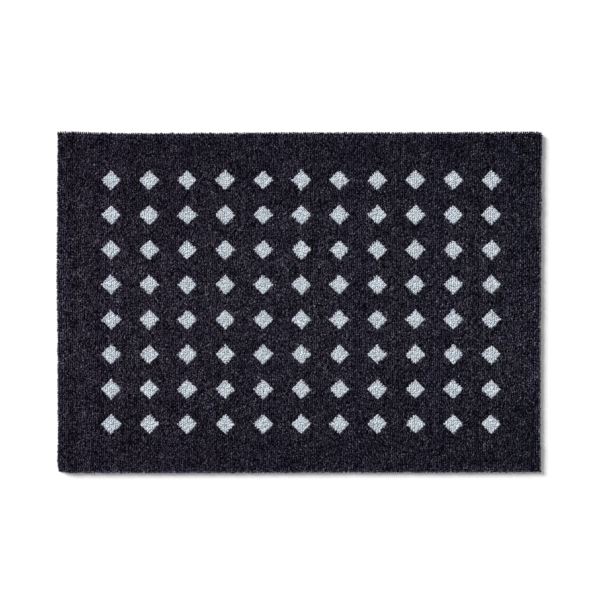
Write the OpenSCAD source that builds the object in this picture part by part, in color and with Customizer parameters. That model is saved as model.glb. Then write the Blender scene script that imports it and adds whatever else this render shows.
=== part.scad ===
// Washable door mat. Cut pile stands in a carrier cloth, the yarn's back stitches run under
// the cloth, and a rubber sheet with grip nubs is pressed on round them.
// Millimetres. +X along the length, +Y across the width, +Z up from the floor.
// The origin is the centre of the mat on the floor.

/* [Mat] */
// Length along X
mat_length = 850; // [600:10:1200]
// Width along Y
mat_width = 597; // [450:1:900]
// Radius of the four cut corners
corner_radius = 5; // [3:0.5:8]
// How far the pile leans out over the cut edge of the cloth and rubber under it
pile_overhang = 1; // [0.5:0.5:2]

/* [Rubber backing] */
// Thickness of the rubber sheet over the nubs
rubber_thickness = 1.5; // [1.2:0.1:4]
// Height of the grip nubs and the rim
nub_height = 0.8; // [0.4:0.1:2]
// Diameter of a grip nub
nub_diameter = 5; // [2:0.5:8]
// Distance between neighbouring nubs in a row, and a little more than between rows
nub_pitch = 30; // [20:1:60]
// Width of the flat rim round the underside
rim_width = 10; // [4:1:30]

/* [Carrier cloth] */
// Thickness of the cloth that the yarn is stitched through
carrier_thickness = 0.5; // [0.3:0.1:1.5]

/* [Yarn] */
// Height of the cut pile above the carrier cloth
pile_height = 5.2; // [3:0.1:12]
// Distance between neighbouring stitch lines, which run along Y
needle_pitch = 3.6; // [2.5:0.1:6]
// Width of the yarn's back stitches under the carrier cloth
stitch_width = 1.6; // [0.8:0.1:2]
// Rubber that seals the ends of the stitch lines
edge_seal = 1; // [1:0.5:6]

/* [Diamonds] */
// Number of diamonds in a row, along X
diamond_columns = 11; // [2:1:16]
// Number of rows, along Y, each a node of its own
diamond_rows = 8; // [2:1:10]
// Side of a diamond, which is a square stood on its corner
diamond_side = 24; // [12:1:26]
// From the mat's left and right edges to the centres of the outer diamonds, on average
end_margin = 91; // [40:1:120]
// From the mat's front and back edges to the centres of the outer diamonds, on average
side_margin = 84; // [40:0.5:120]
// How far the diamonds as a group lie off the centre along X
group_shift_x = 3.5; // [-10:0.5:10]
// How far the diamonds as a group lie off the centre along Y
group_shift_y = 1; // [-10:0.5:10]
// Gap all round a diamond, between its yarn and the ground yarn
yarn_gap = 0.2; // [0.1:0.05:0.5]

/* [Hidden] */
$fn = 48;

// The cut edge of the cloth and rubber
cut_length = mat_length - 2 * pile_overhang;
cut_width = mat_width - 2 * pile_overhang;

// Heights of the layers' undersides above the floor
carrier_z = nub_height + rubber_thickness;
pile_z = carrier_z + carrier_thickness;

// Stitch lines: as many as the length holds, centred
line_count = floor((cut_length - 2 * edge_seal) / needle_pitch);
stitch_length = cut_width - 2 * edge_seal;

// Diamonds: the outer ones keep their margins, and the others are spaced evenly between
diamond_pitch_x = (mat_length - 2 * end_margin) / (diamond_columns - 1);
diamond_pitch_y = (mat_width - 2 * side_margin) / (diamond_rows - 1);

// Nubs: rows half a pitch out of step, in what the rim leaves free
nub_row_pitch = nub_pitch * sin(60);
nub_reach_x = cut_length / 2 - rim_width - nub_diameter;
nub_reach_y = cut_width / 2 - rim_width - nub_diameter;
nub_rows_out = floor(nub_reach_y / nub_row_pitch);

// A rectangle with round corners, centred on the origin
module round_rectangle(length, width, radius) {
    square([length - 2 * radius, width], center = true);
    square([length, width - 2 * radius], center = true);
    for (x = [-1, 1], y = [-1, 1])
        translate([x * (length / 2 - radius), y * (width / 2 - radius)]) circle(r = radius);
}

module pile_outline() {
    round_rectangle(mat_length, mat_width, corner_radius);
}

module cut_outline() {
    round_rectangle(cut_length, cut_width, corner_radius - pile_overhang);
}

// Everything inside the rim on the underside
module rim_opening() {
    square([cut_length - 2 * rim_width, cut_width - 2 * rim_width], center = true);
}

// Places its child at every nub
module at_nubs() {
    for (row = [-nub_rows_out : nub_rows_out]) {
        step_out = (row % 2 == 0) ? 0 : nub_pitch / 2;
        nubs_out = floor((nub_reach_x - step_out) / nub_pitch);
        first = (row % 2 == 0) ? -nubs_out : -nubs_out - 1;
        for (nub = [first : nubs_out])
            translate([nub * nub_pitch + step_out, row * nub_row_pitch]) children();
    }
}

// The yarn under the carrier cloth: one long half-round bead for each stitch line
module stitch_lines() {
    for (line = [0 : line_count - 1])
        translate([(line - (line_count - 1) / 2) * needle_pitch, stitch_length / 2, carrier_z])
            rotate([90, 0, 0]) linear_extrude(stitch_length) half_round(stitch_width);
}

// The lower half of a circle
module half_round(diameter) {
    difference() {
        circle(d = diameter);
        translate([-diameter, 0]) square([2 * diameter, diameter]);
    }
}

// One diamond's outline, larger by grow on each side
module diamond_outline(grow) {
    rotate(45) square(diamond_side + 2 * grow, center = true);
}

// Places its child at every diamond of one row, where row 1 is the back one
module along_row(row) {
    for (column = [0 : diamond_columns - 1])
        translate([
            (column - (diamond_columns - 1) / 2) * diamond_pitch_x + group_shift_x,
            ((diamond_rows + 1) / 2 - row) * diamond_pitch_y + group_shift_y
        ]) children();
}

// Rubber sheet with its rim and nubs, moulded in one, and a groove for each stitch line
module rubber_backing() {
    color("#1b1b1d") difference() {
        union() {
            translate([0, 0, nub_height]) linear_extrude(rubber_thickness) cut_outline();
            linear_extrude(nub_height) difference() {
                cut_outline();
                rim_opening();
            }
            at_nubs() cylinder(h = nub_height, d = nub_diameter);
        }
        stitch_lines();
    }
}

module back_stitches() {
    color("#2b2a33") stitch_lines();
}

module carrier_cloth() {
    color("#3a3940") translate([0, 0, carrier_z]) linear_extrude(carrier_thickness) cut_outline();
}

// The dark pile, open where the diamonds stand
module ground_pile() {
    color("#24222d") translate([0, 0, pile_z]) linear_extrude(pile_height) difference() {
        pile_outline();
        for (row = [1 : diamond_rows]) along_row(row) diamond_outline(yarn_gap);
    }
}

// The pale pile of one row of diamonds
module diamond_row(row) {
    color("#b6bdc6") translate([0, 0, pile_z]) linear_extrude(pile_height)
        along_row(row) diamond_outline(0);
}

rubber_backing();
back_stitches();
carrier_cloth();
ground_pile();
for (row = [1 : diamond_rows])
    diamond_row(row);
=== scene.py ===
"""A washable door mat: cut pile with rows of pale diamonds, stitched through a carrier cloth on rubber.

The pile is real geometry. One tuft of cut strands is modelled and arrayed along its stitch lines,
and each strand then gets its own lean, turn, width, height and tone. Everything is in metres,
in the frame of the CAD part.
"""

import math

import bpy
import numpy as np
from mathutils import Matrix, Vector


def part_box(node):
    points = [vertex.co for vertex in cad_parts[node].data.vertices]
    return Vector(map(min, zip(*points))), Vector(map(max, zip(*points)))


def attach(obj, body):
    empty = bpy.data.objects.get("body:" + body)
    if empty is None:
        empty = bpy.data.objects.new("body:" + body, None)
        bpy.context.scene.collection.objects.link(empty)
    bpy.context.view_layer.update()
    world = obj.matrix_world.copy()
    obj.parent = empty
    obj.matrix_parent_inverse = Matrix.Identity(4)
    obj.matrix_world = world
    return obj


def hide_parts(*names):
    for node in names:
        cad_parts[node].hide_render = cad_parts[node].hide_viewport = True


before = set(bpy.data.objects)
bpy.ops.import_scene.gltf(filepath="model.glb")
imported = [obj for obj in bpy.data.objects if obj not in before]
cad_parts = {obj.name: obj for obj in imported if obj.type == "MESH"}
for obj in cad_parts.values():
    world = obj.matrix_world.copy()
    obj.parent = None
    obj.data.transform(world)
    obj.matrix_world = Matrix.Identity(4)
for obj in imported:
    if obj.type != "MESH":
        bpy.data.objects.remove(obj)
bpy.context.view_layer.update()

MM = 0.001
SEED = 11

# The mat, from the frame
CLOTH_LOW, CLOTH_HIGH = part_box("carrier_cloth")
PILE_LOW, PILE_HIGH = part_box("ground_pile")
HALF_LENGTH = PILE_HIGH.x
HALF_WIDTH = PILE_HIGH.y
PILE_HEIGHT = PILE_HIGH.z - PILE_LOW.z

# The diamonds, from the frame
DIAMOND_COLUMNS = 11
DIAMOND_NODES = [f"diamond_row_{row}" for row in range(1, 9)]
RAGGED = 0.5 * MM  # how far the edge of a diamond strays from strand to strand
BLEND = 1.3 * MM  # how far from its edge the fibres of the two yarns mingle, and so their tones

# How far each cut edge strays outwards, in mm: a shift, a slant, waves of (height, turns, peak) and
# swells of (height, middle, width). Places run from -1 to 1 along the edge.
RIGHT_EDGE = (-0.3, 1.4, [], [(1.4, -1, 0.13), (1.4, 1, 0.13)])
LEFT_EDGE = (1.0, 0.0, [(0.9, 3.4, 0.25), (0.2, 9, 0.1745)], [(0.8, -0.95, 0.07)])
BACK_EDGE = (0.2, 1.5, [(0.4, 6, 0)], [(3.2, -1, 0.16)])
FRONT_EDGE = (-0.3, -1.0, [(-0.25, 6, 0.0951)], [])
WANDER_FADE = 6  # the power by which the wander fades from the edges to the middle

# The stitches: their lines run along Y and lie side by side along X, as many as the mat holds
STITCHES_LOW, STITCHES_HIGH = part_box("back_stitches")
LINE_PITCH = 3.6 * MM
LINES = int((STITCHES_HIGH.x - STITCHES_LOW.x) / LINE_PITCH) + 1
STITCH_PITCH = 3.624 * MM
STITCHES = int(2 * HALF_WIDTH / STITCH_PITCH)
STRIPS = 10  # the dark pile is made in strips along X, so that no piece is heavy

# One cut strand of yarn, before it is varied
STRAND_SIDES = 5
STRAND_POINTS = 2 * STRAND_SIDES
STRAND_ROOT = 0.6 * MM
STRAND_TIP = 1.22 * MM
DARK_SQUEEZE = (0.80, 1.03)  # the dark yarn is pressed flat in its line: its width along X and Y
STRAND_TURN = math.radians(50)  # how far a strand twists on the way up
FIBRE_TURN = math.radians(70)  # how far its fibres wind round it
FIBRE_CLIMB = 0.4  # how far the fibres' pattern runs on from root to tip
FIBRE_STEP = 3.7  # and from one strand to the next
FIBRE_SPAN = 1000  # after which it starts again

# A strand laid flat in a square of side 1: its cut tip in the middle, its wall round that, and its root
# in a corner
TIP_REACH = 0.3
WALL_REACH = 0.45
ROOT_PLACE = 0.08
ROOT_REACH = 0.05

# The strands of one stitch: where their tips stand round its middle. Their roots are closer together.
TIPS = [(-0.5, -1.15), (0.6, -0.1), (-0.25, 1.2)]
STRANDS = len(TIPS)
ROOT_GATHER = 0.35  # the roots' distance from the middle, as a share of the tips'

# How the stitches and their strands vary
LEAN_STITCH = 0.4 * MM
LEAN_STRAND = 0.4 * MM
LEAN_CLUMP = 0.25 * MM  # neighbours lean together in clumps, between these two lengths
CLUMP_LONGEST = 60 * MM
CLUMP_SHORTEST = 9 * MM
WIDTH_SPREAD = 0.15
WIDTH_LIMITS = (0.6, 1.4)
HEIGHT_SPREAD = 0.07
HEIGHT_LIMITS = (0.8, 1.05)
FRAY = 0.2 * MM  # how far each point of a tip strays
TONE_STITCH = 0.33  # how far the tones of whole stitches lie apart
TONE_STRAND = 0.9  # of strands in a stitch
TONE_LINE = 0.14  # and of stitch lines
PALE_MINGLE = -4.0  # what mingling does to the tone of the pale yarn at a diamond's edge
DARK_MINGLE = 1.1  # and to that of the dark yarn
PAINTED_FRINGE_LIGHT = 0.5  # painted light: the thin fringe of the mat lets some light through, so its strands are made brighter
EDGE_CALM = 0.45  # the knife leaves the fringe more even: the share of its lean and fray that is lost
EDGE_FILL = 0.5  # and fatter along X, so that its lines close up: what is added to that squeeze
PALE_CALM = 0.5  # the pale yarn is bulkier, so its strands stray less than the dark ones
PALE_SPREAD = 0.45  # and stand this much further apart across their line
PALE_WIDTH = 1.42  # how much wider they are

# How the outermost strands lean out over the cut edge
SPLAY_X = 2.2 * MM
SPLAY_Y = 1.7 * MM
SPLAY_REACH = 5 * MM
WORN_CORNER = 4.8 * MM  # how far the front left corner is rubbed in, along X and along Y
ROUND_CORNER = 1.2 * MM  # and the back right one
CORNER_REACH = 4.5 * MM


# ---------------------------------------------------------------- tools

def only(piece):
    """Makes this the one selected and active object."""
    bpy.ops.object.select_all(action="DESELECT")
    piece.select_set(True)
    bpy.context.view_layer.objects.active = piece


def new_piece(name):
    """Names the object that was just added, and leaves it alone selected."""
    piece = bpy.context.object
    piece.name = piece.data.name = name
    only(piece)
    return piece


def pick_points(piece, chosen):
    """In edit mode, selects only the points whose flag is set."""
    bpy.ops.object.mode_set(mode="EDIT")
    bpy.ops.mesh.select_mode(type="VERT")
    bpy.ops.mesh.select_all(action="DESELECT")
    bpy.ops.object.mode_set(mode="OBJECT")
    piece.data.vertices.foreach_set("select", np.asarray(chosen, bool))
    bpy.ops.object.mode_set(mode="EDIT")


def apply_modifier(piece, kind, **settings):
    """Adds a modifier with these settings and applies it."""
    modifier = piece.modifiers.new(kind.title(), kind)
    for key, value in settings.items():
        setattr(modifier, key, value)
    only(piece)
    bpy.ops.object.modifier_apply(modifier=modifier.name)


def points_of(piece):
    """The places of a piece's points, as an array with one row for each."""
    co = np.empty(len(piece.data.vertices) * 3, np.float32)
    piece.data.vertices.foreach_get("co", co)
    return co.reshape(-1, 3).astype(float)


def put_points(piece, co):
    """Moves a piece's points to these places."""
    piece.data.vertices.foreach_set("co", co.astype(np.float32).ravel())
    piece.data.update()


# ---------------------------------------------------------------- where each stitch stands

def stray(place, shift, slant, waves, swells):
    """How far an edge strays outwards at a place along it."""
    out = shift + slant * place
    for height, turns, peak in waves:
        out = out + height * np.cos(turns * (place - peak))
    for height, middle, width in swells:
        out = out + height * np.exp(-((place - middle) / width) ** 2)
    return out * MM


def outline_shift(x, y):
    """How far the mat strays from the true rectangle. It fades towards the middle."""
    along, across = x / HALF_LENGTH, y / HALF_WIDTH
    out_x = np.where(along > 0, stray(across, *RIGHT_EDGE), -stray(across, *LEFT_EDGE))
    out_y = np.where(across > 0, stray(along, *BACK_EDGE), -stray(along, *FRONT_EDGE))
    return out_x * np.abs(along) ** WANDER_FADE, out_y * np.abs(across) ** WANDER_FADE


def ripples(x, y, rng, longest, shortest, count=40):
    """A smooth random field of about unit height, summed from waves between two lengths."""
    field = np.zeros(x.shape)
    for _ in range(count):
        length = math.exp(rng.uniform(math.log(shortest), math.log(longest)))
        turn, phase = rng.uniform(0, 2 * math.pi, 2)
        field += np.sin(2 * math.pi / length * (x * math.cos(turn) + y * math.sin(turn)) + phase)
    return field * math.sqrt(2 / count)


def diamond_row_of(x, y, rng):
    """The number of each strand's diamond row, or 0 on the dark ground, and how near an edge it is."""
    number_of = np.zeros(x.shape, int)
    nearness = np.zeros(x.shape)
    ragged = rng.normal(0, RAGGED, x.shape)
    for number, node in enumerate(DIAMOND_NODES, 1):
        low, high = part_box(node)
        half = (high.y - low.y) / 2
        centres = np.linspace(low.x + half, high.x - half, DIAMOND_COLUMNS)
        off_x = np.abs(x[..., None] - centres).min(-1)
        off_y = np.abs(y - (low.y + high.y) / 2)
        number_of[off_x + off_y < half + ragged] = number
        gap = np.abs(off_x + off_y - half) / math.sqrt(2)
        nearness = np.maximum(nearness, np.exp(-gap / BLEND))
    return number_of, nearness


class Stitches:
    """All that differs from strand to strand. Arrays go by stitch along Y, line along X, and strand."""

    def __init__(self):
        rng = np.random.default_rng(SEED)
        x = (np.arange(LINES) - (LINES - 1) / 2) * LINE_PITCH
        y = (np.arange(STITCHES) - (STITCHES - 1) / 2) * STITCH_PITCH
        self.y, self.x = np.meshgrid(y, x, indexing="ij")
        tips = MM * np.array(TIPS)
        self.diamond, nearness = diamond_row_of(
            self.x[..., None] + tips[:, 0], self.y[..., None] + tips[:, 1], rng)
        stitch, strand = (STITCHES, LINES, 1), (STITCHES, LINES, STRANDS)
        self.lean = rng.normal(0, LEAN_STITCH, (*stitch, 2)) + rng.normal(0, LEAN_STRAND, (*strand, 2))
        for axis in (0, 1):
            clump = ripples(self.x, self.y, rng, CLUMP_LONGEST, CLUMP_SHORTEST)
            self.lean[..., axis] += LEAN_CLUMP * clump[..., None]
        self.turn = rng.uniform(0, 2 * math.pi, strand)
        self.width = np.clip(rng.normal(1, WIDTH_SPREAD, strand), *WIDTH_LIMITS)
        self.height = np.clip(rng.normal(1, HEIGHT_SPREAD, strand), *HEIGHT_LIMITS)
        self.tone = (rng.normal(0, TONE_STITCH, stitch) + rng.normal(0, TONE_STRAND, strand)
                     + rng.normal(0, TONE_LINE, (1, LINES, 1)))
        self.tone += np.where(self.diamond > 0, PALE_MINGLE, DARK_MINGLE) * nearness
        gap = np.minimum(HALF_LENGTH - np.abs(self.x), HALF_WIDTH - np.abs(self.y))[..., None]
        at_edge = np.minimum(1, np.exp(1 - gap / LINE_PITCH))
        # painted light along the cut edge: the fringe's strands are made brighter in tone
        self.tone += PAINTED_FRINGE_LIGHT * at_edge
        self.lean *= 1 - EDGE_CALM * at_edge[..., None]
        self.fray = rng.normal(0, FRAY, (*strand, STRAND_POINTS, 3))
        self.fray *= 1 - EDGE_CALM * at_edge[..., None, None]
        self.calm_the_pale()
        self.squeeze[..., 0] += EDGE_FILL * at_edge

    def calm_the_pale(self):
        """Makes the pale yarn bulkier and more even than the dark yarn."""
        pale = self.diamond > 0
        calm = np.where(pale, PALE_CALM, 1)
        self.squeeze = np.where(pale[..., None], 1, DARK_SQUEEZE)
        self.lean *= calm[..., None]
        self.lean[..., 0] += PALE_SPREAD * np.where(pale, MM * np.array(TIPS)[:, 0], 0)
        self.fray *= calm[..., None, None]
        self.width = np.where(pale, PALE_WIDTH, 1) * (1 + (self.width - 1) * calm)
        self.height = 1 + (self.height - 1) * calm


# ---------------------------------------------------------------- the yarn

def yarn_strand():
    """One strand of cut yarn, twisted and flared towards its tip, at the origin."""
    bpy.ops.mesh.primitive_cone_add(
        vertices=STRAND_SIDES, radius1=STRAND_ROOT, radius2=STRAND_TIP, depth=PILE_HEIGHT,
        location=(0, 0, PILE_HEIGHT / 2))
    strand = new_piece("strand")
    bpy.ops.object.transform_apply(location=True, rotation=True, scale=True)
    pick_points(strand, at_tip(strand))
    bpy.ops.transform.rotate(value=STRAND_TURN, orient_axis="Z", center_override=(0, 0, 0))
    bpy.ops.object.mode_set(mode="OBJECT")
    bpy.ops.object.shade_smooth()
    lay_out_strand(strand)
    lay_fibres(strand)
    return strand


def at_tip(strand):
    """For each point of a strand at the origin, whether it is at the tip."""
    return points_of(strand)[:, 2] > PILE_HEIGHT / 2


def lay_out_strand(strand):
    """Lays a strand's wall flat as a ring round its cut tip, and its root as a spot in the corner."""
    layer = strand.data.uv_layers[0]
    layer.name = "OFBake"
    for face in strand.data.polygons:
        for loop in face.loop_indices:
            point = strand.data.vertices[strand.data.loops[loop].vertex_index].co
            raised = point.z > PILE_HEIGHT / 2
            angle = math.atan2(point.y, point.x) - (STRAND_TURN if raised else 0)
            across, along = math.cos(angle), math.sin(angle)
            middle, reach = 0.5, TIP_REACH if raised else WALL_REACH
            if face.normal.z < -0.9:  # the root, which faces down
                middle, reach = ROOT_PLACE, ROOT_REACH
            layer.uv[loop].vector = (middle + reach * across, middle + reach * along)


def lay_fibres(strand):
    """Stores where the fibres run: round the strand in X and Y, with a slow turn on the way up."""
    fibres = strand.data.attributes.new("fibres", "FLOAT_VECTOR", "POINT")
    for point, place in zip(strand.data.vertices, fibres.data):
        up = point.co.z / PILE_HEIGHT
        angle = math.atan2(point.co.y, point.co.x) + FIBRE_TURN * up
        place.vector = (math.cos(angle), math.sin(angle), FIBRE_CLIMB * up)


def yarn_tuft(strand):
    """One stitch above the cloth: copies of a strand, gathered at the root and spread at the tip."""
    copies = []
    for tip in TIPS:
        only(strand)
        bpy.ops.object.duplicate()
        copy = new_piece("tuft")
        x, y = tip[0] * MM, tip[1] * MM
        pick_points(copy, ~at_tip(copy))
        bpy.ops.transform.translate(value=(ROOT_GATHER * x, ROOT_GATHER * y, 0))
        bpy.ops.mesh.select_all(action="INVERT")
        bpy.ops.transform.translate(value=(x, y, 0))
        bpy.ops.object.mode_set(mode="OBJECT")
        copies.append(copy)
    only(copies[0])
    for copy in copies:
        copy.select_set(True)
    bpy.ops.object.join()
    return copies[0]


def pile_field(name, tuft, stitches, wanted):
    """The wanted strands as one piece: the tuft is arrayed over their rows, thinned out and varied."""
    rows = np.flatnonzero(wanted.any((1, 2)))
    first, last = rows[0], rows[-1] + 1
    only(tuft)
    bpy.ops.object.duplicate()
    field = new_piece(name)
    bpy.ops.object.mode_set(mode="EDIT")
    bpy.ops.mesh.select_all(action="SELECT")
    bpy.ops.transform.translate(value=(stitches.x[first, 0], stitches.y[first, 0], PILE_LOW.z))
    bpy.ops.object.mode_set(mode="OBJECT")
    apply_modifier(field, "ARRAY", count=LINES, use_relative_offset=False,
                   use_constant_offset=True, constant_offset_displace=(LINE_PITCH, 0, 0))
    apply_modifier(field, "ARRAY", count=int(last - first), use_relative_offset=False,
                   use_constant_offset=True, constant_offset_displace=(0, STITCH_PITCH, 0))
    keep = wanted[first:last]
    pick_points(field, np.repeat(~keep.ravel(), STRAND_POINTS))
    bpy.ops.mesh.delete(type="VERT")
    bpy.ops.object.mode_set(mode="OBJECT")
    row, line, strand = np.nonzero(keep)
    at = (row + first, line, strand)
    put_points(field, varied(points_of(field).reshape(-1, STRAND_POINTS, 3), stitches, at))
    give_each_strand_a_square(field)
    # the tone holds each strand's random tone, the mingling at the diamonds and the painted light of the
    # fringe
    tone = field.data.attributes.new("tone", "FLOAT", "POINT")
    tone.data.foreach_set("value", np.repeat(stitches.tone[at], STRAND_POINTS))
    tell_fibres_apart(field)
    return field


def varied(strands, stitches, at):
    """The points of these strands, each one turned, fattened, stretched, leant and frayed by itself."""
    up = (strands[..., 2] - PILE_LOW.z) / PILE_HEIGHT
    tip = up[..., None] > 0.5
    middle = np.where(tip, (strands * tip).sum(1, keepdims=True), (strands * ~tip).sum(1, keepdims=True))
    middle /= STRAND_SIDES
    from_middle = (strands - middle) * stitches.width[at][:, None, None]
    turn = stitches.turn[at][:, None]
    across = from_middle[..., 0] * np.cos(turn) - from_middle[..., 1] * np.sin(turn)
    along = from_middle[..., 0] * np.sin(turn) + from_middle[..., 1] * np.cos(turn)
    lean, fray = stitches.lean[at][:, None], stitches.fray[at]
    stitch_x, stitch_y = stitches.x[at[:2]][:, None], stitches.y[at[:2]][:, None]
    (out_x, out_y), (shift_x, shift_y) = splay(stitch_x, stitch_y), outline_shift(stitch_x, stitch_y)
    squeeze = stitches.squeeze[at][:, None]
    across, along = squeeze[..., 0] * across, squeeze[..., 1] * along
    x = middle[..., 0] + shift_x + across + (lean[..., 0] + out_x + fray[..., 0]) * up
    y = middle[..., 1] + shift_y + along + (lean[..., 1] + out_y + fray[..., 1]) * up
    rise = up * (PILE_HEIGHT * stitches.height[at][:, None] + fray[..., 2])
    return np.stack([x, y, PILE_LOW.z + rise], -1)


def splay(x, y):
    """How far the tips of a stitch lean out over the nearest cut edges."""
    gap_x = (HALF_LENGTH - np.abs(x) - LINE_PITCH) / SPLAY_REACH
    gap_y = (HALF_WIDTH - np.abs(y) - STITCH_PITCH) / SPLAY_REACH
    out_x = np.sign(x) * SPLAY_X * np.exp(-gap_x)
    out_y = np.sign(y) * SPLAY_Y * np.exp(-gap_y)
    front_left = np.hypot(x + HALF_LENGTH, y + HALF_WIDTH) / CORNER_REACH
    back_right = np.hypot(x - HALF_LENGTH, y - HALF_WIDTH) / CORNER_REACH
    worn = WORN_CORNER * np.exp(1 - front_left)
    rounded = ROUND_CORNER * np.exp(1 - back_right)
    return out_x + worn - rounded, out_y + worn - rounded


def give_each_strand_a_square(field):
    """Puts each strand's layout in a square of its own, so that no two share any of the image."""
    layer = field.data.uv_layers["OFBake"]
    uv = np.empty(len(field.data.loops) * 2, np.float32)
    layer.uv.foreach_get("vector", uv)
    count = len(field.data.vertices) // STRAND_POINTS
    uv = uv.reshape(count, -1, 2)
    side = math.ceil(math.sqrt(count))
    uv[..., 0] = (uv[..., 0] + (np.arange(count) % side)[:, None]) / side
    uv[..., 1] = (uv[..., 1] + (np.arange(count) // side)[:, None]) / side
    layer.uv.foreach_set("vector", uv.ravel())


def tell_fibres_apart(field):
    """Moves each strand's fibres to a place of their own in the pattern, so that no two look alike."""
    fibres = field.data.attributes["fibres"].data
    place = np.empty(len(fibres) * 3, np.float32)
    fibres.foreach_get("vector", place)
    place = place.reshape(-1, STRAND_POINTS, 3)
    place[..., 2] += FIBRE_STEP * np.arange(len(place))[:, None] % FIBRE_SPAN
    fibres.foreach_set("vector", place.ravel())


def dark_pile(tuft, stitches, finish):
    """The dark ground, in strips from the back of the mat to the front."""
    dark = stitches.diamond == 0
    pieces = []
    for strip in range(STRIPS):
        rows = np.arange(STITCHES) * STRIPS // STITCHES == STRIPS - 1 - strip
        piece = pile_field(f"dark_pile_{strip + 1}", tuft, stitches, dark & rows[:, None, None])
        dress(piece, finish)
        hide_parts("ground_pile")
        pieces.append(piece)
    return pieces


def pale_diamonds(tuft, stitches, finish):
    """The pale diamonds, a piece for each row of them."""
    pieces = []
    for number, node in enumerate(DIAMOND_NODES, 1):
        piece = pile_field(f"pale_diamonds_{number}", tuft, stitches, stitches.diamond == number)
        dress(piece, finish)
        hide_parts(node)
        pieces.append(piece)
    return pieces


def dress(piece, finish):
    """Gives a new piece its material and slot, and makes it part of the mat."""
    piece.data.materials.clear()
    piece.data.materials.append(finish)
    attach(piece, "root")


# ---------------------------------------------------------------- the cloth

CLOTH_CELL = 25 * MM
CLOTH_WANDER = 0.4  # how much of the pile's wander its edge follows


def carrier_cloth(finish):
    """The thin cloth that the yarn is stitched through. Its cut edge follows the pile's."""
    length, width = 2 * CLOTH_HIGH.x, 2 * CLOTH_HIGH.y
    bpy.ops.mesh.primitive_grid_add(
        x_subdivisions=round(length / CLOTH_CELL), y_subdivisions=round(width / CLOTH_CELL),
        size=1, location=(0, 0, CLOTH_HIGH.z))
    cloth = new_piece("cloth")
    cloth.scale = (length, width, 1)
    bpy.ops.object.transform_apply(location=True, rotation=True, scale=True)
    co = points_of(cloth)
    shift_x, shift_y = outline_shift(co[:, 0], co[:, 1])
    co[:, 0] += CLOTH_WANDER * shift_x
    co[:, 1] += CLOTH_WANDER * shift_y
    put_points(cloth, co)
    apply_modifier(cloth, "SOLIDIFY", thickness=CLOTH_HIGH.z - CLOTH_LOW.z, offset=-1)
    dress(cloth, finish)
    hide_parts("carrier_cloth")
    return cloth


# ---------------------------------------------------------------- materials

# A noise's values lie mostly between these
BROAD_NOISE = (0.25, 0.75)
FINE_NOISE = (0.3, 0.7)

# Lint lies where a noise is high: how far down it can reach, and where it is thick
LINT_REACH = 0.25
LINT_FULL = 0.78

# The painted shade at the yarn's root lifts towards its tip, between these shares of the pile's height
SHADED_BELOW = 0.3
LIT_ABOVE = 0.95

# A strand's brightness is a power of its tone
TONE_POWER = 2.4
TONE_FLOOR = 0.05
BRIGHT_SHADES = (0.5, 2.5)  # between these shades the yarn turns to its bright colour, partly a painted highlight
EDGE_RISE = 2.0  # the power by which the yarn's shade changes from the middle to the front and back

# left and right are the colours at the mat's ends; bright is the colour of the palest strands and a
# painted highlight.
# tone_swing, root_shade, blotch_strength and edge_shade are how much these change the yarn's shade.
DARK_YARN = {
    "left": (0.0465, 0.0365, 0.0730, 1), "right": (0.0275, 0.0280, 0.0545, 1),
    "bright": (0.0330, 0.0305, 0.0400, 1), "tone_swing": 0.405, "root_shade": 0.0,
    "blotch_size": 0.022, "blotch_strength": 0.36, "edge_shade": 0.65}
PALE_YARN = {
    "left": (0.552, 0.603, 0.67, 1), "right": (0.552, 0.603, 0.67, 1),
    "bright": (0.552, 0.595, 0.645, 1), "tone_swing": 0.03, "root_shade": 0.95,
    "blotch_size": 0.01, "blotch_strength": 0.05, "edge_shade": 1.0}

CLOTH_COLOUR = (0.020, 0.019, 0.025, 1)
CLOTH_LINT = (0.08, 0.08, 0.085, 1)
RUBBER_COLOUR = (0.012, 0.012, 0.013, 1)
RUBBER_DUST = (0.06, 0.058, 0.055, 1)
DUST_COVER = 0.5  # how much of the rubber a patch of dust hides
DUST_ROUGHNESS = 0.2  # and how much rougher it makes it
STITCH_SHADOW = (0.006, 0.006, 0.009, 1)
STITCH_COLOUR = (0.026, 0.024, 0.036, 1)


def feed(tree, node, inputs):
    """Gives each input of a node its value, or links the socket it is given."""
    for key, value in inputs.items():
        if isinstance(value, bpy.types.NodeSocket):
            tree.links.new(value, node.inputs[key])
        else:
            node.inputs[key].default_value = value


def add(tree, kind, inputs=None, **settings):
    """Adds a node with these inputs and settings."""
    node = tree.nodes.new("ShaderNode" + kind)
    for key, value in settings.items():
        setattr(node, key, value)
    feed(tree, node, inputs or {})
    return node


def maths(tree, operation, *values):
    """The result of a Math node."""
    return add(tree, "Math", dict(enumerate(values)), operation=operation).outputs[0]


def mixed(tree, factor, first, second):
    """A colour between two others."""
    node = add(tree, "Mix", {0: factor, 6: first, 7: second}, data_type="RGBA")
    return node.outputs[2]


def spread(tree, value, low, high, to_low, to_high):
    """A value moved from one range to another, and held inside it."""
    sockets = {"Value": value, "From Min": low, "From Max": high, "To Min": to_low, "To Max": to_high}
    return add(tree, "MapRange", sockets).outputs[0]


def product(tree, first, *others):
    """All these values multiplied together."""
    for other in others:
        first = maths(tree, "MULTIPLY", first, other)
    return first


def start_group(name, inputs, outputs):
    """An empty node group. Inputs are (name, type, value) and outputs (name, type)."""
    tree = bpy.data.node_groups.new(name, "ShaderNodeTree")
    for socket, kind, value in inputs:
        made = tree.interface.new_socket(name=socket, in_out="INPUT", socket_type="NodeSocket" + kind)
        if value is not None:
            made.default_value = value
    for socket, kind in outputs:
        tree.interface.new_socket(name=socket, in_out="OUTPUT", socket_type="NodeSocket" + kind)
    return tree, tree.nodes.new("NodeGroupInput").outputs, tree.nodes.new("NodeGroupOutput").inputs


def place_group(tree, name, inputs):
    """A built group, placed in a material with its own values."""
    node = tree.nodes.new("ShaderNodeGroup")
    node.node_tree = bpy.data.node_groups[name]
    feed(tree, node, inputs)
    return node.outputs


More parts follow.
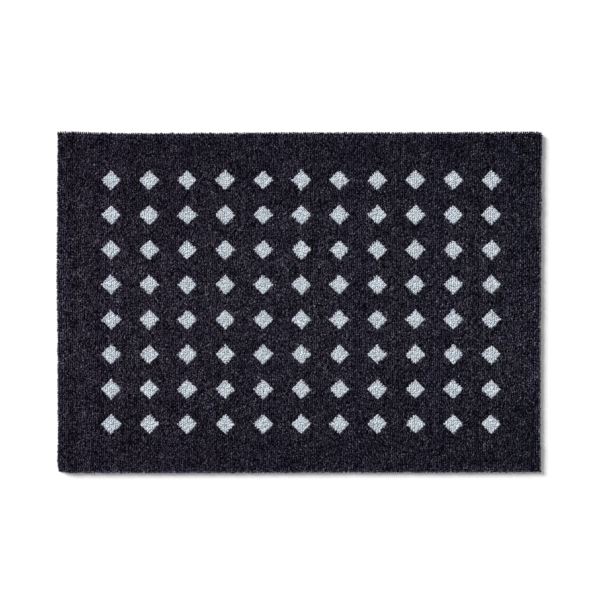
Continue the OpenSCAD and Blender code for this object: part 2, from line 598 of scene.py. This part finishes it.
def build_blotches():
    """Soft lighter and darker patches. Factor lies about 1."""
    tree, given, result = start_group(
        "Blotches", [("Vector", "Vector", None), ("Size", "Float", 0.03), ("Strength", "Float", 0.2)],
        [("Factor", "Float")])
    scale = maths(tree, "DIVIDE", 1.0, given["Size"])
    noise = add(tree, "TexNoise", {"Vector": given["Vector"], "Scale": scale, "Detail": 2.0})
    centred = spread(tree, noise.outputs["Fac"], *BROAD_NOISE, -1.0, 1.0)
    swing = maths(tree, "MULTIPLY", centred, given["Strength"])
    tree.links.new(maths(tree, "ADD", swing, 1.0), result["Factor"])


def build_fibres():
    """Fine fibres. They run along whichever axis the vector is squeezed on. Factor lies about 1."""
    tree, given, result = start_group(
        "Fibres", [("Vector", "Vector", None), ("Size", "Float", 0.5), ("Strength", "Float", 0.2)],
        [("Factor", "Float"), ("Height", "Float")])
    scale = maths(tree, "DIVIDE", 1.0, given["Size"])
    noise = add(tree, "TexNoise", {"Vector": given["Vector"], "Scale": scale, "Detail": 2.0})
    height = spread(tree, noise.outputs["Fac"], *FINE_NOISE, 0.0, 1.0)
    swing = maths(tree, "MULTIPLY", maths(tree, "SUBTRACT", height, 0.5), given["Strength"])
    tree.links.new(maths(tree, "ADD", swing, 1.0), result["Factor"])
    tree.links.new(height, result["Height"])


def build_painted_root_shade():
    """Painted shade between the strands: darkens the yarn towards its root. Factor rises to 1 at the tip.
    """
    tree, given, result = start_group(
        "Painted Root Shade", [("Vector", "Vector", None), ("Root Shade", "Float", 0.4)], [("Factor", "Float")])
    height = add(tree, "SeparateXYZ", {0: given["Vector"]}).outputs["Z"]
    shaded, lit = PILE_LOW.z + SHADED_BELOW * PILE_HEIGHT, PILE_LOW.z + LIT_ABOVE * PILE_HEIGHT
    rise = spread(tree, height, shaded, lit, 0.0, 1.0)
    tree.links.new(spread(tree, rise, 0.0, 1.0, given["Root Shade"], 1.0), result["Factor"])


def build_lint():
    """Sparse specks of lint and dust. Mask is 1 on a speck."""
    tree, given, result = start_group(
        "Lint", [("Vector", "Vector", None), ("Size", "Float", 0.002), ("Amount", "Float", 0.1)],
        [("Mask", "Float")])
    scale = maths(tree, "DIVIDE", 1.0, given["Size"])
    noise = add(tree, "TexNoise", {"Vector": given["Vector"], "Scale": scale, "Detail": 3.0})
    _, rare = BROAD_NOISE
    edge = maths(tree, "SUBTRACT", rare, maths(tree, "MULTIPLY", given["Amount"], LINT_REACH))
    tree.links.new(spread(tree, noise.outputs["Fac"], edge, LINT_FULL, 0.0, 1.0), result["Mask"])


def start_material(name, **values):
    """A material with its Principled shader, and the places on the object as a vector."""
    material = bpy.data.materials.new(name)
    material.use_nodes = True
    tree = material.node_tree
    shader = tree.nodes["Principled BSDF"]
    for key, value in values.items():
        shader.inputs[key.replace("_", " ")].default_value = value
    return material, tree, shader, add(tree, "TexCoord").outputs["Object"]


def paint(tree, shader, colour, shade):
    """Gives the shader this colour, made darker or lighter by the shade."""
    scaled = add(tree, "VectorMath", {0: colour, "Scale": shade}, operation="SCALE").outputs[0]
    tree.links.new(scaled, shader.inputs["Base Color"])


def roughen(tree, shader, height, low, high):
    """The roughness where the surface is low, and where it is high."""
    tree.links.new(spread(tree, height, 0.0, 1.0, low, high), shader.inputs["Roughness"])


def bump(tree, shader, height, distance):
    """Raises the surface by this distance where the height is 1."""
    node = add(tree, "Bump", {"Height": height, "Distance": distance})
    tree.links.new(node.outputs["Normal"], shader.inputs["Normal"])


def pile_material(name, left, right, bright, tone_swing, root_shade, blotch_size, blotch_strength,
                  edge_shade):
    """Cut yarn. It drifts in colour from left to right and in shade towards the front and back edges,
    and each strand has its own tone."""
    material, tree, shader, places = start_material(
        name, Sheen_Weight=0.004, Sheen_Roughness=0.5, Specular_IOR_Level=0.02)
    tone = add(tree, "Attribute", attribute_name="tone").outputs["Fac"]
    tone = maths(tree, "MAXIMUM", maths(tree, "MULTIPLY_ADD", tone, tone_swing, 1.0), TONE_FLOOR)
    tone = maths(tree, "POWER", tone, TONE_POWER)
    # painted shade between the strands, darkest at their roots
    depth = place_group(tree, "Painted Root Shade", {"Vector": places, "Root Shade": root_shade})["Factor"]
    blotches = place_group(
        tree, "Blotches", {"Vector": places, "Size": blotch_size, "Strength": blotch_strength})["Factor"]
    round_strand = add(tree, "Attribute", attribute_name="fibres").outputs["Vector"]
    fibres = place_group(tree, "Fibres", {"Vector": round_strand, "Size": 0.22, "Strength": 1.2})
    axes = add(tree, "SeparateXYZ", {0: places}).outputs
    sideways = spread(tree, axes["X"], -HALF_LENGTH, HALF_LENGTH, 0.0, 1.0)
    outwards = maths(tree, "DIVIDE", maths(tree, "ABSOLUTE", axes["Y"]), HALF_WIDTH)
    edge = spread(tree, maths(tree, "POWER", outwards, EDGE_RISE), 0.0, 1.0, 1.0, edge_shade)
    shade = product(tree, tone, depth, blotches, fibres["Factor"], edge)
    # the yarn turns grey where its shade is high: the palest strands, and a painted highlight
    brightness = spread(tree, shade, *BRIGHT_SHADES, 0.0, 1.0)
    paint(tree, shader, mixed(tree, brightness, mixed(tree, sideways, left, right), bright), shade)
    roughen(tree, shader, fibres["Height"], low=0.9, high=0.7)
    bump(tree, shader, fibres["Height"], distance=0.15 * MM)
    return material


def cloth_material():
    """Dull nonwoven cloth: matted fibres, a little lint."""
    material, tree, shader, places = start_material("nonwoven cloth", Specular_IOR_Level=0.2)
    blotches = place_group(tree, "Blotches", {"Vector": places, "Size": 0.004, "Strength": 0.5})["Factor"]
    fibres = place_group(tree, "Fibres", {"Vector": places, "Size": 0.6 * MM, "Strength": 0.5})
    lint = place_group(tree, "Lint", {"Vector": places, "Size": 0.003, "Amount": 0.5})["Mask"]
    colour = mixed(tree, lint, CLOTH_COLOUR, CLOTH_LINT)
    paint(tree, shader, colour, product(tree, blotches, fibres["Factor"]))
    roughen(tree, shader, fibres["Height"], low=0.95, high=0.8)
    bump(tree, shader, fibres["Height"], distance=0.1 * MM)
    return material


def rubber_material():
    """Matt black rubber with a fine moulded grain, grey with dust in places."""
    material, tree, shader, places = start_material("nitrile rubber", Specular_IOR_Level=0.4)
    blotches = place_group(tree, "Blotches", {"Vector": places, "Size": 0.05, "Strength": 0.25})["Factor"]
    dust = place_group(tree, "Lint", {"Vector": places, "Size": 0.006, "Amount": 0.8})["Mask"]
    grain = add(tree, "TexNoise", {"Vector": places, "Scale": 1400.0, "Detail": 3.0}).outputs["Fac"]
    dusted = mixed(tree, product(tree, dust, DUST_COVER), RUBBER_COLOUR, RUBBER_DUST)
    paint(tree, shader, dusted, blotches)
    rough = spread(tree, grain, *FINE_NOISE, 0.5, 0.65)
    rough = maths(tree, "ADD", rough, product(tree, dust, DUST_ROUGHNESS))
    tree.links.new(rough, shader.inputs["Roughness"])
    bump(tree, shader, grain, distance=0.08 * MM)
    return material


def stitch_material():
    """The flattened yarn of the back stitches."""
    material, tree, shader, places = start_material("stitch yarn", Specular_IOR_Level=0.2)
    lengthwise = add(tree, "Mapping", {"Vector": places, "Scale": (1, 0.1, 1)}).outputs[0]
    fibres = place_group(tree, "Fibres", {"Vector": lengthwise, "Size": 0.4 * MM, "Strength": 0.6})
    blotches = place_group(tree, "Blotches", {"Vector": places, "Size": 0.02, "Strength": 0.3})["Factor"]
    shade = product(tree, blotches, fibres["Factor"])
    tree.links.new(mixed(tree, shade, STITCH_SHADOW, STITCH_COLOUR), shader.inputs["Base Color"])
    roughen(tree, shader, fibres["Height"], low=0.9, high=0.7)
    bump(tree, shader, fibres["Height"], distance=0.2 * MM)
    return material


def keep_cad_node(node, finish):
    """A CAD node that is shown as it is, with a better material."""
    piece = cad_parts[node]
    piece.data.materials.clear()
    piece.data.materials.append(finish)


# ---------------------------------------------------------------- floor, light, camera

FLOOR_SIZE = 30.0
FLOOR_COLOUR = (0.93, 0.93, 0.935, 1)
SUN_STRENGTH = 4.95
SUN_SOFTNESS = math.radians(34)
SUN_HEIGHT = math.radians(29.5)
SUN_FROM = math.radians(144)  # from the back left
SUN_PLACE = (-1, 1, 2)  # where the lamp is drawn, which doesn't change its light
SKY_COLOUR = (1, 1, 1, 1)
SKY_STRENGTH = 0.44
SKY_SEEN = 0.93  # the camera sees it paler, so that a low view has no dark horizon
LENS = 85.0
SENSOR = 36.0
VIEW_WIDTH = 1.0547  # what the image spans at the height of the pile
VIEW_CENTRE = (1.0 * MM, 4.8 * MM)


def pale_floor():
    """A plain matt floor under the mat."""
    bpy.ops.mesh.primitive_plane_add(size=FLOOR_SIZE, location=(0, 0, 0))
    floor = new_piece("floor")
    finish = start_material("pale floor", Base_Color=FLOOR_COLOUR, Roughness=0.9, Specular_IOR_Level=0.1)
    floor.data.materials.append(finish[0])


def soft_light():
    """A broad soft light from the back left, and an even pale sky."""
    bpy.ops.object.light_add(type="SUN", location=SUN_PLACE)
    sun = bpy.context.object
    sun.name = "key_light"
    sun.data.energy = SUN_STRENGTH
    sun.data.angle = SUN_SOFTNESS
    towards = Vector((math.cos(SUN_FROM) * math.cos(SUN_HEIGHT),
                      math.sin(SUN_FROM) * math.cos(SUN_HEIGHT), math.sin(SUN_HEIGHT)))
    sun.rotation_euler = towards.to_track_quat("Z", "Y").to_euler()
    world = bpy.data.worlds.new("pale sky")
    world.use_nodes = True
    tree = world.node_tree
    seen = add(tree, "LightPath").outputs["Is Camera Ray"]
    sky = tree.nodes["Background"]
    sky.inputs["Color"].default_value = SKY_COLOUR
    tree.links.new(spread(tree, seen, 0.0, 1.0, SKY_STRENGTH, SKY_SEEN), sky.inputs["Strength"])
    bpy.context.scene.world = world
    bpy.context.scene.view_settings.view_transform = "Standard"


def camera_overhead():
    """Straight down on the mat, with its length across the image."""
    distance = VIEW_WIDTH * LENS / SENSOR
    bpy.ops.object.camera_add(location=(*VIEW_CENTRE, PILE_HIGH.z + distance), rotation=(0, 0, 0))
    camera = bpy.context.object
    camera.name = "camera"
    camera.data.lens = LENS
    camera.data.sensor_width = SENSOR
    bpy.context.scene.camera = camera


# ---------------------------------------------------------------- the mat

camera_overhead()
pale_floor()
soft_light()

build_blotches()
build_fibres()
build_painted_root_shade()
build_lint()

# The layers, from the rubber up
keep_cad_node("rubber_backing", rubber_material())
keep_cad_node("back_stitches", stitch_material())
cloth = carrier_cloth(cloth_material())

stitches = Stitches()
strand = yarn_strand()
tuft = yarn_tuft(strand)
pile = dark_pile(tuft, stitches, pile_material("dark pile", **DARK_YARN))
pile += pale_diamonds(tuft, stitches, pile_material("pale pile", **PALE_YARN))
for pattern in (strand, tuft):
    bpy.data.objects.remove(pattern)
